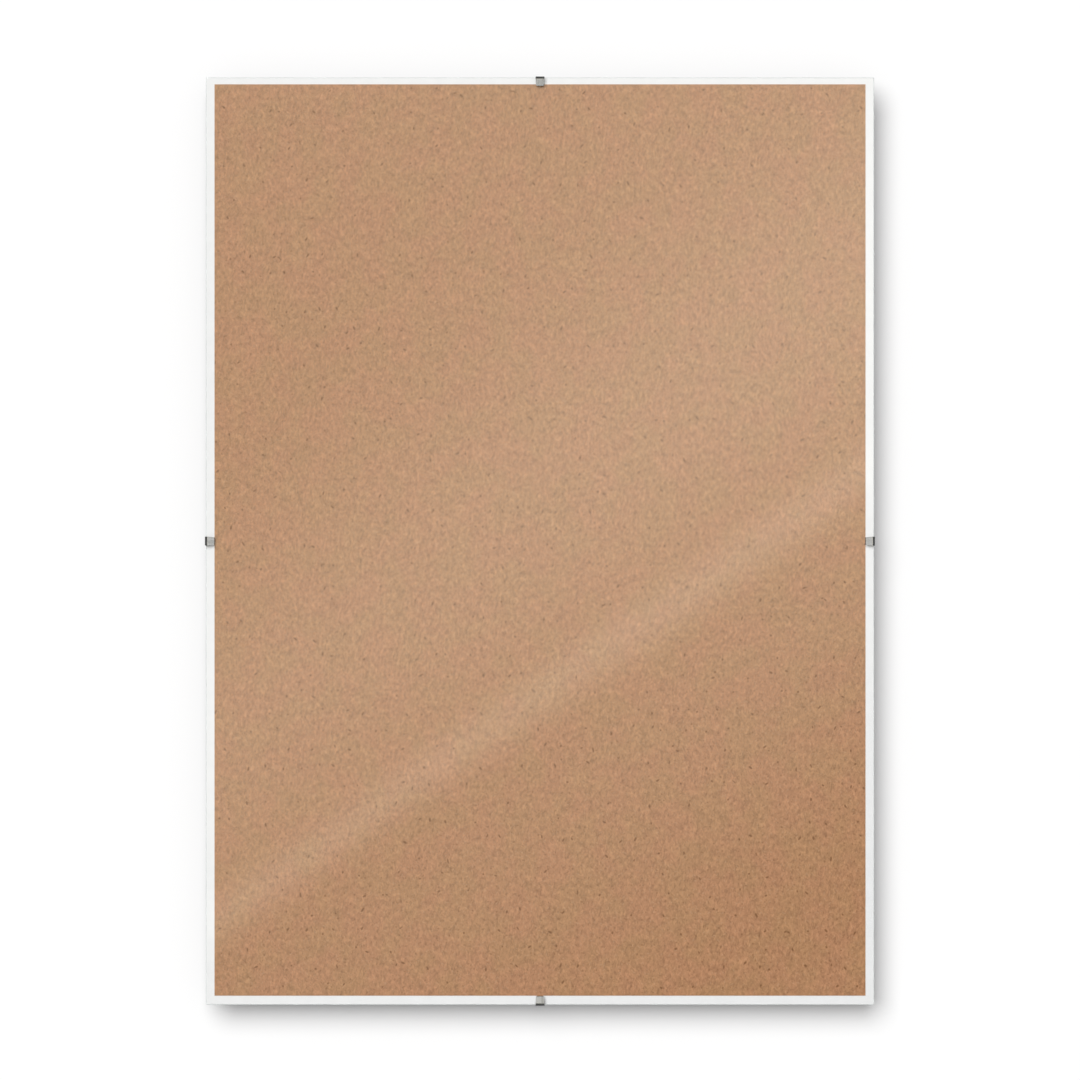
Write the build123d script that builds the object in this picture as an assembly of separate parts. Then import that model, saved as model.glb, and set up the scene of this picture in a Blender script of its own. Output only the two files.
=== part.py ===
from build123d import *
import os
from math import asin, atan2, cos, degrees, hypot, radians, sin, sqrt, tan

# Clip frame: a glass pane, a kraft sheet, a white card and a hardboard back, gripped by four spring
# clips and hung by a triangular ring. Millimetres; X runs right, Z up, and the glass faces -Y.
# The origin is the point inside the upper ring where the nail carries the frame.

# Sheets, from front to back
pane_width = 513.0
pane_height = 712.0
pane_thickness = 2.0
pane_arris = 0.5  # ground chamfer along the edges of the glass
insert_width = 500.0
insert_height = 700.0
insert_thickness = 0.3
insert_rise = 0.8  # the sheet lies this much above the middle of the glass
card_thickness = 0.7
panel_thickness = 3.0
panel_ease = 0.4  # chamfer round the rear face of the panel

# Spring clip, one bent strip of steel
clip_thickness = 0.6
clip_edge_gap = 0.3  # between the web and the edge of the glass
corner_clearance = 0.1  # between the front bend and the edge of the glass that it goes round
lip_width = 6.8
lip_tip_width = 6.0
lip_tip_radius = 1.2
front_bend_radius = 1.6  # inside of the bend in front of the glass
toe_reach = 6.4  # from the edge of the glass to the line where the toe presses
toe_radius = 0.9  # of the face that presses on the glass
toe_gap = 0.05
flare_angle = 22.0
flare_length = 0.5
rear_bend_radius = 1.2  # inside of the bend behind the panel
leg_rise = 1.8  # from the panel to the inside of the rear bend
leg_width = 10.0
leg_tip_radius = 2.0
knee_reach = 12.6  # from the edge of the glass to where the leg comes down on the panel
knee_radius = 2.0
foot_length = 5.4
finger_bend_radius = 1.4
finger_angle = 42.0
finger_length = 3.6

# Hook lanced out of the clip's foot, and the slot in the panel that takes it
hook_reach = 15.2  # from the edge of the glass to the outward face of the hook
hook_width = 4.0
hook_depth = 1.8
hook_bend_radius = 0.3
lance_kerf = 0.25
window_length = 2.6
slot_side_clearance = 0.6
slot_back_clearance = 0.2
slot_swing_room = 2.0  # the hook swings outwards by up to this much as it is levered out

# Hanger: a triangular wire ring in the fold of a strap, held by a hollow rivet
hanger_drop = 45.0  # from the edge of the panel to the nail
wire_radius = 0.8
ring_width = 20.0
ring_height = 14.0  # from the axis of the bar to the inside of the crown
ring_corner_radius = 2.2
ring_crown_radius = 2.4
ring_clearance = 0.06
strap_thickness = 0.5
strap_width = 9.0
strap_length = 16.0  # from the axis of the bar to the free end
strap_end_radius = 3.0
strap_fold_gap = 0.1
strap_fold_angle = 45.0
strap_fold_radius = 0.6
rivet_reach = 10.0  # from the axis of the bar to the axis of the rivet
rivet_radius = 2.0
rivet_wall = 0.5
rivet_clearance = 0.1
rivet_head_radius = 3.5
rivet_rim_radius = 3.2  # of the end that is rolled out flat in front of the panel
counterbore_depth = 0.7

# Depths and heights that follow from the sizes above
strap_loop_radius = wire_radius + ring_clearance
stack_thickness = pane_thickness + insert_thickness + card_thickness + panel_thickness
panel_rear = -strap_loop_radius - strap_thickness
panel_front = panel_rear - panel_thickness
card_front = panel_front - card_thickness
insert_front = card_front - insert_thickness
pane_front = insert_front - pane_thickness
middle_height = hanger_drop - pane_height / 2
bar_height = -ring_height
rivet_height = bar_height - rivet_reach
strap_top = panel_rear + 2 * strap_thickness + strap_fold_gap
hole_radius = rivet_radius + rivet_clearance
hook_root = -hook_reach - hook_bend_radius - clip_thickness

# Turns about Y that carry a piece made at the top edge to its own edge
clip_turns = {"top": 0, "right": 90, "bottom": 180, "left": 270}
hanger_turns = {"portrait": 0, "landscape": 270}


def at_edge(turn: float, inset: float) -> Location:
    """Frame near the middle of one edge of the pane, with Z pointing out and Y towards the wall."""
    half = pane_height / 2 if turn % 180 == 0 else pane_width / 2
    return Pos(0, 0, middle_height) * Rot(0, turn, 0) * Pos(0, 0, half - inset)


def sheet(width: float, height: float, front: float, thickness: float, rise: float = 0) -> Part:
    """Flat sheet whose front face lies at the given depth."""
    return Pos(0, front + thickness / 2, middle_height + rise) * Box(width, thickness, height)


def strip_section(path: Curve, thickness: float, side: Side) -> Sketch:
    """Side view of sheet metal that lies along one side of a path."""
    return make_face(offset(path, thickness, side=side, kind=Kind.INTERSECTION).edges())


def extrude_strip(section: Sketch, width: float) -> Part:
    """Strip with this side view, drawn as depth and height, spread evenly to both sides."""
    return extrude(Plane.YZ * section, width / 2, both=True)


def direction(angle: float) -> Vector:
    """Unit vector at an angle in degrees."""
    return Vector(cos(radians(angle)), sin(radians(angle)))


def bend_corner(centre: Vector, radius: float, first: float, second: float) -> Vector:
    """Corner where the straight runs on both sides of a bend would meet.

    first and second are the directions, in degrees, from the bend's centre to its two ends.
    """
    ends = direction(first) + direction(second)
    return centre + ends * (radius / (1 + direction(first).dot(direction(second))))


def crossing_slope(depth_step: float, reach_step: float, radius_sum: float) -> float:
    """Slope, in degrees, of the straight run between two bends that turn opposite ways."""
    return degrees(asin(radius_sum / hypot(depth_step, reach_step)) - atan2(depth_step, reach_step))


def clip_corners() -> list[Vector]:
    """Corners of the clip's inner face, from lip to finger, as depth behind the glass and way out."""
    front_inset = sqrt((front_bend_radius - corner_clearance) ** 2 - (front_bend_radius - clip_edge_gap) ** 2)
    toe = Vector(-toe_gap - toe_radius, -toe_reach)
    front_bend = Vector(front_inset, clip_edge_gap - front_bend_radius)
    rear_bend = Vector(stack_thickness + leg_rise - rear_bend_radius, clip_edge_gap - rear_bend_radius)
    knee = Vector(stack_thickness + knee_radius, -knee_reach)
    finger_bend = Vector(stack_thickness + finger_bend_radius, -knee_reach - foot_length)
    lip_step = front_bend - toe
    leg_step = rear_bend - knee
    lip_slope = crossing_slope(lip_step.X, lip_step.Y, toe_radius + front_bend_radius)
    leg_slope = crossing_slope(-leg_step.X, leg_step.Y, knee_radius + rear_bend_radius)
    toe_corner = bend_corner(toe, toe_radius, -flare_angle, lip_slope)
    finger_corner = bend_corner(finger_bend, finger_bend_radius, 180, 180 + finger_angle)
    return [
        toe_corner + direction(270 - flare_angle) * flare_length,
        toe_corner,
        bend_corner(front_bend, front_bend_radius, 180 + lip_slope, 90),
        bend_corner(rear_bend, rear_bend_radius, 90, -leg_slope),
        bend_corner(knee, knee_radius, 180 - leg_slope, 180),
        finger_corner,
        finger_corner + direction(finger_angle - 90) * finger_length,
    ]


def half_plan(side: list[tuple[float, float]], tip_radius: float) -> Sketch:
    """Outline of the lip or the leg, seen from the front, from its right side and the round of its tip."""
    outline = side + [(-x, height) for x, height in reversed(side)]
    plan = make_face(Polyline(*outline, close=True).edges())
    return fillet(plan.vertices().group_by(Axis.Y)[0], tip_radius)


def make_clip() -> Part:
    """Spring clip on the top edge, with the front of the glass at depth 0 and its edge at height 0."""
    corners = clip_corners()
    radii = [toe_radius, front_bend_radius, rear_bend_radius, knee_radius, finger_bend_radius]
    section = strip_section(FilletPolyline(*corners, radius=radii), clip_thickness, Side.LEFT)
    strip = extrude_strip(section, leg_width)
    shoulder = clip_edge_gap - front_bend_radius
    web_side = [(lip_width / 2, clip_edge_gap + clip_thickness), (lip_width / 2, shoulder)]
    lip_side = web_side + [(lip_tip_width / 2, corners[0].Y)]
    leg_side = web_side + [(leg_width / 2, -knee_reach), (leg_width / 2, corners[-1].Y)]
    lip_plan = half_plan(lip_side, lip_tip_radius)
    leg_plan = half_plan(leg_side, leg_tip_radius)
    web_middle = Plane.XZ.offset(-stack_thickness / 2)
    depth = stack_thickness + leg_width
    clip = (strip & extrude(web_middle * lip_plan, depth)) + (strip & extrude(web_middle * leg_plan, -depth))
    return clip - make_hook_window() + make_hook()


def make_hook_window() -> Part:
    """Space that the hook leaves in the clip's foot when it is bent out."""
    middle = Pos(0, stack_thickness + clip_thickness / 2, hook_root + window_length / 2)
    return middle * Box(hook_width + 2 * lance_kerf, 2 * clip_thickness, window_length)


def make_hook() -> Part:
    """Tongue of the clip's foot, bent at right angles into the slot in the panel."""
    outer_face = stack_thickness + clip_thickness
    path = FilletPolyline(
        (outer_face, hook_root - clip_thickness),
        (outer_face, -hook_reach),
        (stack_thickness - hook_depth, -hook_reach),
        radius=hook_bend_radius + clip_thickness,
    )
    return extrude_strip(strip_section(path, clip_thickness, Side.LEFT), hook_width)


def make_pane() -> Part:
    """Glass with its edges ground off."""
    pane = sheet(pane_width, pane_height, pane_front, pane_thickness)
    return chamfer(pane.edges(), pane_arris)


def make_panel() -> Part:
    """Hardboard back with a slot behind each clip and a counterbored hole for each rivet."""
    panel = sheet(pane_width, pane_height, panel_front, panel_thickness)
    panel = chamfer(panel.faces().sort_by(Axis.Y)[-1].edges(), panel_ease)
    slot_inner = hook_root - slot_back_clearance
    slot_outer = slot_swing_room - hook_reach
    slot = Box(hook_width + 2 * slot_side_clearance, panel_thickness, slot_outer - slot_inner)
    slot_middle = Pos(0, (panel_front + panel_rear) / 2, (slot_inner + slot_outer) / 2)
    for turn in clip_turns.values():
        panel -= at_edge(turn, 0) * slot_middle * slot
    hole = CounterBoreHole(hole_radius, rivet_rim_radius + rivet_clearance, counterbore_depth, panel_thickness)
    for turn in hanger_turns.values():
        panel -= at_edge(turn, hanger_drop) * Pos(0, panel_front, rivet_height) * Plane.XZ.location * hole
    return panel


def strap_line(out: float) -> Curve:
    """Side view of the strap at a distance outside its inner face: under layer, loop, over layer."""
    end = bar_height - strap_length
    settle_radius = strap_fold_radius + strap_thickness
    loop_drop = strap_loop_radius * (1 + cos(radians(strap_fold_angle)))
    settle_drop = settle_radius * (1 - cos(radians(strap_fold_angle)))
    slope_length = (loop_drop - settle_drop - strap_fold_gap) / sin(radians(strap_fold_angle))
    under = Line((-strap_loop_radius - out, end), (-strap_loop_radius - out, bar_height))
    loop = JernArc(under @ 1, under % 1, strap_loop_radius + out, -180 - strap_fold_angle)
    slope = Line(loop @ 1, loop @ 1 + (loop % 1) * slope_length)
    settle = JernArc(slope @ 1, slope % 1, settle_radius - out, strap_fold_angle)
    over = Line(settle @ 1, ((settle @ 1).X, end))
    return Curve() + [under, loop, slope, settle, over]


def make_strap() -> Part:
    """Strip folded round the bar of the ring, with both layers flat on the panel and one rivet hole."""
    inner = strap_line(0)
    outer = strap_line(strap_thickness)
    section = make_face(inner.edges() + outer.edges() + [Line(inner @ 0, outer @ 0), Line(inner @ 1, outer @ 1)])
    strap = extrude_strip(section, strap_width)
    strap = fillet(strap.edges().filter_by(Axis.Y).group_by(Axis.Z)[0], strap_end_radius)
    hole = Cylinder(hole_radius, strap_top - panel_rear, align=(Align.CENTER, Align.CENTER, Align.MAX))
    return strap - Pos(0, panel_rear, rivet_height) * Plane.XZ.location * hole


def make_ring() -> Part:
    """Triangle of round wire, standing on its bar, with the inside of its crown at the origin."""
    half = ring_width / 2
    crown_rise = wire_radius - ring_crown_radius - bar_height
    leg_slope = atan2(crown_rise, half) + asin(ring_crown_radius / hypot(crown_rise, half))
    peak = bar_height + half * tan(leg_slope)
    outline = FilletPolyline(
        (half, bar_height),
        (0, peak),
        (-half, bar_height),
        radius=[ring_corner_radius, ring_crown_radius, ring_corner_radius],
        close=True,
    )
    path = Plane.XZ * outline
    start = Plane(path @ 0, z_dir=path % 0)
    return sweep(start * Circle(wire_radius), path=path)


def make_rivet() -> Part:
    """Hollow rivet: flange on the strap, barrel through the panel, end rolled out in the counterbore."""
    counterbore_floor = panel_front + counterbore_depth
    path = Polyline(
        (rivet_head_radius, strap_top),
        (rivet_radius, strap_top),
        (rivet_radius, counterbore_floor),
        (rivet_rim_radius, counterbore_floor),
    )
    wall = revolve(strip_section(path, rivet_wall, Side.RIGHT), Axis.Y)
    return Pos(0, 0, rivet_height) * wall


nodes = {
    "glass_pane": make_pane(),
    "insert_sheet": sheet(insert_width, insert_height, insert_front, insert_thickness, insert_rise),
    "backing_card": sheet(pane_width, pane_height, card_front, card_thickness),
    "back_panel": make_panel(),
}
for edge_name, turn in clip_turns.items():
    nodes[f"clip_{edge_name}"] = at_edge(turn, 0) * Pos(0, pane_front, 0) * make_clip()
for way_name, turn in hanger_turns.items():
    nodes[f"{way_name}_strap"] = at_edge(turn, hanger_drop) * make_strap()
    nodes[f"{way_name}_ring"] = at_edge(turn, hanger_drop) * make_ring()
    nodes[f"{way_name}_rivet"] = at_edge(turn, hanger_drop) * make_rivet()

os.makedirs("parts", exist_ok=True)
for node_name, solid in nodes.items():
    export_step(solid, f"parts/{node_name}.step")
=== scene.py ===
"""Looks of a frameless clip frame: glass over a kraft sheet, held to its back by four spring clips.

Metres; X runs right, Z up, and the glass faces -Y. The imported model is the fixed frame, and every
piece made here lies where its node lies. Patterns of the finishes are measured in millimetres.
"""

import logging
import math
from collections.abc import Iterable
from dataclasses import dataclass
from enum import Enum

import bmesh
import bpy
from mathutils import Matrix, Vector


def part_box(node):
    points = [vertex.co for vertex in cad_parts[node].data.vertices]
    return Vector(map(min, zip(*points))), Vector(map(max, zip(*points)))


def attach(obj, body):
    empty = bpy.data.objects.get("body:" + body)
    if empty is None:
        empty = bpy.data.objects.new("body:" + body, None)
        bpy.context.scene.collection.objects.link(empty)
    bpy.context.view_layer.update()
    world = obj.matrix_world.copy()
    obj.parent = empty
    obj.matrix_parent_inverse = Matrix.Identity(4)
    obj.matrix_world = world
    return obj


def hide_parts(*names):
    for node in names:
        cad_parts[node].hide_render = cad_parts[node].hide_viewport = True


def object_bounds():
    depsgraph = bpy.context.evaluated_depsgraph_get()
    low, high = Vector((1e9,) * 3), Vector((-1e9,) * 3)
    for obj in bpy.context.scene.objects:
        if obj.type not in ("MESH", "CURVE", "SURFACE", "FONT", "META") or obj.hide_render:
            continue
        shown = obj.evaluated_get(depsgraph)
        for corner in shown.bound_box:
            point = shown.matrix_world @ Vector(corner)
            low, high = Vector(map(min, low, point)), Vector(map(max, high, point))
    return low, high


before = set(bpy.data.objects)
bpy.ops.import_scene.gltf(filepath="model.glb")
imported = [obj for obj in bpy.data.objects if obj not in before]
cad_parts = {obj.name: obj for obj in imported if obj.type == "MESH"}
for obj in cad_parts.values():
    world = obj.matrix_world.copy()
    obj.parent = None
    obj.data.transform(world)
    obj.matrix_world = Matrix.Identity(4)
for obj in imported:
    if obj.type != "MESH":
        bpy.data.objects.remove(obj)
cad_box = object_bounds()

log = logging.getLogger("clip_frame")

MM = 0.001
MM_PER_METRE = 1000.0
MERGE_DISTANCE = 0.001 * MM
FLAT_ANGLE = math.radians(1)  # facets that meet at less than this are joined
EASED_ANGLE = math.radians(30)  # edges sharper than this are eased
EASE_SEGMENTS = 2
EASE_PROFILE = 0.5  # a round
CREASE_ANGLE = math.radians(50)  # edges sharper than this stay creased in the shading
FACE_ON = 0.999  # faces of the pane that look this straight forwards or back are polished
DRAWN_OUT = 0.06  # scale of a pattern in the direction in which steel was rolled
NOISE_MIDDLE = 0.5  # middle of a noise or of a random number

Triple = tuple[float, float, float]
Pair = tuple[float, float]
Socket = bpy.types.NodeSocket
Outputs = bpy.types.NodeOutputs
Value = Socket | float | int | bool | tuple | str

WHITE: Triple = (1.0, 1.0, 1.0)
BLACK: Triple = (0.0, 0.0, 0.0)


class Slot(Enum):
    """Material slots of the record."""

    GLASS = "glass"
    KRAFT = "kraft"
    SPRING_STEEL = "spring_steel"
    PLATED_STEEL = "plated_steel"


class Grain(Enum):
    """Direction in which a strip of steel was rolled, as scales of X, Y and Z."""

    UPRIGHT = (1.0, DRAWN_OUT, DRAWN_OUT)
    SIDEWAYS = (DRAWN_OUT, DRAWN_OUT, 1.0)


class Edge(Enum):
    """Edges of the pane that carry a clip."""

    TOP = "top"
    RIGHT = "right"
    BOTTOM = "bottom"
    LEFT = "left"

    @property
    def grain(self) -> Grain:
        """Rolling direction of the clip on this edge."""
        return Grain.UPRIGHT if self in (Edge.TOP, Edge.BOTTOM) else Grain.SIDEWAYS


class Way(Enum):
    """Ways to hang the frame, each with its own hanger."""

    PORTRAIT = "portrait"
    LANDSCAPE = "landscape"

    @property
    def ring_body(self) -> str:
        """Body that carries the ring of this hanger."""
        return "upright_ring" if self is Way.PORTRAIT else "sideways_ring"

    @property
    def grain(self) -> Grain:
        """Rolling direction of the strap."""
        return Grain.UPRIGHT if self is Way.PORTRAIT else Grain.SIDEWAYS

    @property
    def rise(self) -> Vector:
        """Direction from the bar of the ring to its crown."""
        return Vector((0, 0, 1)) if self is Way.PORTRAIT else Vector((-1, 0, 0))

    @property
    def along(self) -> Vector:
        """Direction of the bar of the ring."""
        return Vector((1, 0, 0)) if self is Way.PORTRAIT else Vector((0, 0, 1))


class Graph:
    """Short way to fill a node tree: most calls add one node and hand back what it puts out.

    Where a node has several sockets of one name, they go by number.
    """

    def __init__(self, tree: bpy.types.NodeTree) -> None:
        """Keep the tree that the nodes go into."""
        self.tree = tree

    def feed(self, socket: Socket, value: Value) -> None:
        """Link an input to another socket, or set its value.

        Args:
            socket: the input.
            value: a socket, a number, the three numbers of a vector or colour, or a name.
        """
        if isinstance(value, Socket):
            self.tree.links.new(value, socket)
        elif socket.type == "RGBA":
            socket.default_value = (*value, 1.0)
        else:
            socket.default_value = value

    def node(
        self, kind: str, inputs: dict[str | int, Value] | None = None, **settings: object
    ) -> bpy.types.Node:
        """Add a node.

        Args:
            kind: Blender's type name of the node.
            inputs: what to feed, by the name or number of the input.
            settings: properties of the node itself.

        Returns:
            The new node.
        """
        node = self.tree.nodes.new(kind)
        for name, setting in settings.items():
            setattr(node, name, setting)
        for key, value in (inputs or {}).items():
            self.feed(node.inputs[key], value)
        return node

    def group(self, tree: bpy.types.NodeTree, inputs: dict[str, Value]) -> Outputs:
        """Place a shader node group and hand back its outputs."""
        return self.node("ShaderNodeGroup", inputs, node_tree=tree).outputs

    def math(self, operation: str, first: Value, second: Value = 0.0, third: Value = 0.0) -> Socket:
        """Add one step of arithmetic on values."""
        return self.node("ShaderNodeMath", {0: first, 1: second, 2: third}, operation=operation).outputs[0]

    def vector(self, operation: str, first: Value, second: Value = (0, 0, 0)) -> Socket:
        """Add one step of arithmetic on vectors."""
        return self.node("ShaderNodeVectorMath", {0: first, 1: second}, operation=operation).outputs[0]

    def scaled(self, first: Value, factor: Value) -> Socket:
        """Scale a vector or a colour by a value."""
        return self.node("ShaderNodeVectorMath", {0: first, "Scale": factor}, operation="SCALE").outputs[0]

    def split(self, vector: Socket) -> Outputs:
        """Take a vector apart into X, Y and Z."""
        return self.node("ShaderNodeSeparateXYZ", {0: vector}).outputs

    def joined(self, x: Value, y: Value, z: Value = 0.0) -> Socket:
        """Put a vector together from X, Y and Z."""
        return self.node("ShaderNodeCombineXYZ", {0: x, 1: y, 2: z}).outputs[0]

    def turned(self, vector: Socket, angle: Value) -> Socket:
        """Turn a vector about Z."""
        inputs = {"Vector": vector, "Angle": angle}
        return self.node("ShaderNodeVectorRotate", inputs, rotation_type="Z_AXIS").outputs[0]

    def ramp(self, value: Value, start: Value, end: Value, low: Value = 0.0, high: Value = 1.0) -> Socket:
        """Ease from low to high while a value goes from start to end."""
        inputs = {"Value": value, "From Min": start, "From Max": end, "To Min": low, "To Max": high}
        return self.node("ShaderNodeMapRange", inputs, interpolation_type="SMOOTHSTEP").outputs["Result"]

    def bell(self, value: Value, middle: float, width: float, height: float) -> Socket:
        """Add a bell curve.

        Args:
            value: where on the curve.
            middle: value at the peak.
            width: distance from the peak at which the curve has fallen to 1/e.
            height: height of the peak.

        Returns:
            The height of the curve there.
        """
        offset = self.math("DIVIDE", self.math("SUBTRACT", value, middle), width)
        square = self.math("MULTIPLY", offset, offset)
        fall = self.math("POWER", math.e, self.math("MULTIPLY", square, -1.0))
        return self.math("MULTIPLY", fall, height)

    def mix(self, factor: Value, first: Value, second: Value) -> Socket:
        """Mix two colours."""
        return self.node("ShaderNodeMix", {0: factor, 6: first, 7: second}, data_type="RGBA").outputs[2]

    def blend(self, factor: Value, first: Value, second: Value) -> Socket:
        """Go from one value to another as a factor goes from 0 to 1."""
        return self.node("ShaderNodeMix", {0: factor, 2: first, 3: second}).outputs[0]

    def noise(self, place: Value, size: Value, detail: Value) -> bpy.types.Node:
        """Add a noise texture.

        Args:
            place: where on the texture.
            size: size of its clouds.
            detail: number of finer layers.

        Returns:
            The texture node.
        """
        scale = self.math("DIVIDE", 1.0, size) if isinstance(size, Socket) else 1.0 / size
        return self.node("ShaderNodeTexNoise", {"Vector": place, "Scale": scale, "Detail": detail})

    def bump(self, height: Socket, depth: float) -> Socket:
        """Turn a height into a normal, where a height of 1 stands out by the depth."""
        return self.node("ShaderNodeBump", {"Height": height, "Distance": depth}).outputs["Normal"]


class MaterialGraph(Graph):
    """The node tree of one material."""

    def __init__(self, name: str) -> None:
        """Make a material with an empty node tree.

        Args:
            name: name of the material.
        """
        self.material = bpy.data.materials.new(name)
        self.material.use_nodes = True
        self.material.node_tree.nodes.clear()
        super().__init__(self.material.node_tree)

    def end(self, surface: Socket) -> bpy.types.Material:
        """Hand the material its surface and give the finished material back."""
        self.node("ShaderNodeOutputMaterial", {"Surface": surface})
        return self.material

    def end_principled(self, inputs: dict[str, Value]) -> bpy.types.Material:
        """End the material in one Principled shader and give it back."""
        return self.end(self.node("ShaderNodeBsdfPrincipled", inputs).outputs[0])

    def millimetres(self) -> Socket:
        """Place on the piece in millimetres, from its object coordinates."""
        return self.scaled(self.node("ShaderNodeTexCoord").outputs["Object"], MM_PER_METRE)

    def face_plane(self, place: Socket) -> Socket:
        """Turn a place on the piece into X and Z, the plane of the sheets."""
        parts = self.split(place)
        return self.joined(parts["X"], parts["Z"])


def new_group(
    name: str, kind: str, inputs: dict[str, str], outputs: dict[str, str]
) -> tuple[Graph, Outputs]:
    """Make an empty node group with named sockets.

    Args:
        name: name of the group.
        kind: ShaderNodeTree or GeometryNodeTree.
        inputs: socket types by name.
        outputs: socket types by name.

    Returns:
        The graph of the group, and the sockets that hand on what it is given.
    """
    tree = bpy.data.node_groups.new(name, kind)
    for socket_name, socket_type in inputs.items():
        tree.interface.new_socket(socket_name, in_out="INPUT", socket_type=socket_type)
    for socket_name, socket_type in outputs.items():
        tree.interface.new_socket(socket_name, in_out="OUTPUT", socket_type=socket_type)
    graph = Graph(tree)
    return graph, graph.node("NodeGroupInput").outputs


@dataclass(frozen=True)
class Mottle:
    """Cloudy pulp of one size in millimetres, drawn out along a direction in radians."""

    size: float
    stretch: float
    turn: float
    detail: float


@dataclass(frozen=True)
class Flecks:
    """A scatter of short fibres, at most one to a cell, each turned its own way.

    Sizes are in millimetres. The turn is the spread of the directions in radians, the share is that of
    the cells that hold a fibre, and the weight is how far the tint covers what lies below.
    """

    tint: Triple
    weight: float
    cell: float
    length: float
    width: float
    turn: float
    share: float
    curl: float
    shift: Triple = (0.0, 0.0, 0.0)


class Effects:
    """Shader node groups that more than one finish uses, each made once."""

    SHORTEST_FLECK: float = 0.45  # as a share of the longest
    FLECK_RIM: Pair = (0.5, 0.25)  # from bare to full, as a share of the fleck's size from its middle
    PULP_ROUGHNESS: float = 0.55
    LINE_DETAIL: float = 3.0
    PATCH_DETAIL: float = 2.0
    PATCH_SPAN: Pair = (0.45, 0.7)

    def __init__(self) -> None:
        """Make the groups."""
        self.flecks = self.make_flecks()
        self.mottle = self.make_mottle()
        self.scuffs = self.make_scuffs()

    @classmethod
    def make_flecks(cls) -> bpy.types.NodeTree:
        """Make the group that scatters thin ellipses.

        Returns:
            The group, which puts out a mask.
        """
        sizes = ("Cell", "Length", "Width", "Turn", "Share", "Curl")
        inputs = {"Place": "NodeSocketVector", **dict.fromkeys(sizes, "NodeSocketFloat")}
        graph, given = new_group("fibre_flecks", "ShaderNodeTree", inputs, {"Mask": "NodeSocketFloat"})
        wave = graph.noise(given["Place"], given["Length"], detail=0.0).outputs["Color"]
        bend = graph.scaled(graph.vector("SUBTRACT", wave, (NOISE_MIDDLE,) * 3), given["Curl"])
        place = graph.vector("ADD", given["Place"], bend)
        grid = {"Vector": place, "Scale": graph.math("DIVIDE", 1.0, given["Cell"])}
        cells = graph.node("ShaderNodeTexVoronoi", grid, voronoi_dimensions="2D").outputs
        chance = graph.node("ShaderNodeSeparateColor", {0: cells["Color"]}).outputs
        turn = graph.math("MULTIPLY", graph.math("SUBTRACT", chance[0], NOISE_MIDDLE), given["Turn"])
        offset = graph.turned(graph.vector("SUBTRACT", place, cells["Position"]), turn)
        part = graph.ramp(chance[2], 0.0, 1.0, cls.SHORTEST_FLECK, 1.0)
        length = graph.math("MULTIPLY", given["Length"], part)
        shape = graph.vector("DIVIDE", offset, graph.joined(given["Width"], length, 1.0))
        reach = graph.node("ShaderNodeVectorMath", {0: shape}, operation="LENGTH").outputs["Value"]
        there = graph.math("LESS_THAN", chance[1], given["Share"])
        mask = graph.math("MULTIPLY", graph.ramp(reach, *cls.FLECK_RIM), there)
        graph.node("NodeGroupOutput", {"Mask": mask})
        return graph.tree

    @classmethod
    def make_mottle(cls) -> bpy.types.NodeTree:
        """Make the group of cloudy pulp: noise drawn out along one direction.

        Returns:
            The group, which puts out a value centred on zero.
        """
        sizes = ("Size", "Stretch", "Turn", "Detail")
        inputs = {"Place": "NodeSocketVector", **dict.fromkeys(sizes, "NodeSocketFloat")}
        graph, given = new_group("pulp_mottle", "ShaderNodeTree", inputs, {"Value": "NodeSocketFloat"})
        place = graph.turned(given["Place"], given["Turn"])
        place = graph.vector("DIVIDE", place, graph.joined(1.0, given["Stretch"], 1.0))
        noise = graph.noise(place, given["Size"], given["Detail"])
        graph.feed(noise.inputs["Roughness"], cls.PULP_ROUGHNESS)
        value = graph.math("SUBTRACT", noise.outputs["Fac"], NOISE_MIDDLE)
        graph.node("NodeGroupOutput", {"Value": value})
        return graph.tree

    @classmethod
    def make_scuffs(cls) -> bpy.types.NodeTree:
        """Make the group of rolling lines and rubbed patches on steel.

        Returns:
            The group, which puts out the lines, centred on zero, and a mask of the patches.
        """
        inputs = {"Place": "NodeSocketVector", "Line": "NodeSocketFloat", "Patch": "NodeSocketFloat"}
        outputs = {"Lines": "NodeSocketFloat", "Patches": "NodeSocketFloat"}
        graph, given = new_group("rolled_scuffs", "ShaderNodeTree", inputs, outputs)
        lines = graph.noise(given["Place"], given["Line"], cls.LINE_DETAIL).outputs["Fac"]
        patches = graph.noise(given["Place"], given["Patch"], cls.PATCH_DETAIL).outputs["Fac"]
        results = {
            "Lines": graph.math("SUBTRACT", lines, NOISE_MIDDLE),
            "Patches": graph.ramp(patches, *cls.PATCH_SPAN),
        }
        graph.node("NodeGroupOutput", results)
        return graph.tree

    def pulp(self, graph: Graph, place: Socket, mottle: Mottle) -> Socket:
        """Place the mottle group in a material.

        Args:
            graph: the material's graph.
            place: place on the piece.
            mottle: sizes of the clouds.

        Returns:
            The pulp's value, centred on zero.
        """
        inputs = {
            "Place": place,
            "Size": mottle.size,
            "Stretch": mottle.stretch,
            "Turn": mottle.turn,
            "Detail": mottle.detail,
        }
        return graph.group(self.mottle, inputs)["Value"]

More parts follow.
